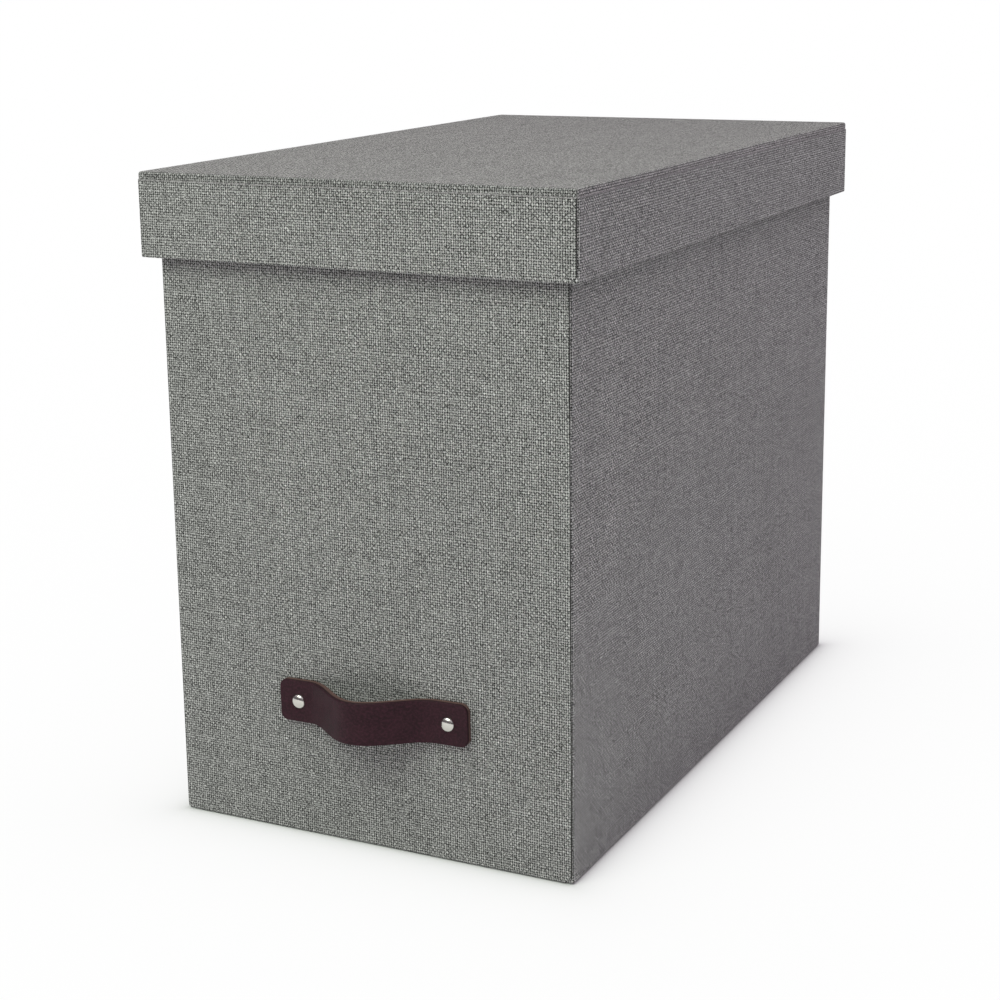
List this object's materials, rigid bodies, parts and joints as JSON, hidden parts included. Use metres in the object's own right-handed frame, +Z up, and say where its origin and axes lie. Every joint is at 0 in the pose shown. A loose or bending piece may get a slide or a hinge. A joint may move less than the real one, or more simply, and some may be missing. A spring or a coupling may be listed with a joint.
{
  "type": "file box",
  "caption": "Upright canvas-covered file box with a lift-off lid, rails for hanging folders and a riveted leather pull on its front.",
  "frame": {"origin": "middle of the box's underside, on the surface it stands on", "axes": "+X to the right seen from the front, +Y to the back, +Z up; the pull is on the -Y face"},
  "size_m": [0.2058, 0.3625, 0.2908],
  "materials": {
    "canvas": "matt grey canvas weave, paper-backed and glued to board",
    "greyboard": "bare matt greyboard",
    "lining": "matt off-white lining paper",
    "tape": "gummed brown paper tape",
    "steel": "bright zinc-plated sheet steel",
    "leather": "smooth dark brown leather, semi-matt, raw lighter edges",
    "nickel": "polished nickel plate"
  },
  "bodies": {
    "box": {"front_board": "greyboard", "back_board": "greyboard", "left_board": "greyboard", "right_board": "greyboard", "base_board": "greyboard", "corner_tapes": "tape", "left_cover": "canvas", "right_cover": "canvas", "front_cover": "canvas", "back_cover": "canvas", "base_cover": "canvas", "wall_lining": "lining", "floor_lining": "lining", "front_rail": "steel", "back_rail": "steel", "pull_strap": "leather", "pull_rivets": "nickel", "rivet_washers": "steel", "rivet_caps": "nickel"},
    "lid": {"lid_top_board": "greyboard", "lid_front_board": "greyboard", "lid_back_board": "greyboard", "lid_left_board": "greyboard", "lid_right_board": "greyboard", "lid_corner_tapes": "tape", "lid_left_cover": "canvas", "lid_right_cover": "canvas", "lid_front_cover": "canvas", "lid_back_cover": "canvas", "lid_top_cover": "canvas", "lid_top_lining": "lining", "lid_skirt_lining": "lining"}
  },
  "joints": [
    {"name": "lid_lift", "type": "slide", "parent": "box", "child": "lid", "axis": [0, 0, 1], "range_m": [0, 0.3]}
  ]
}
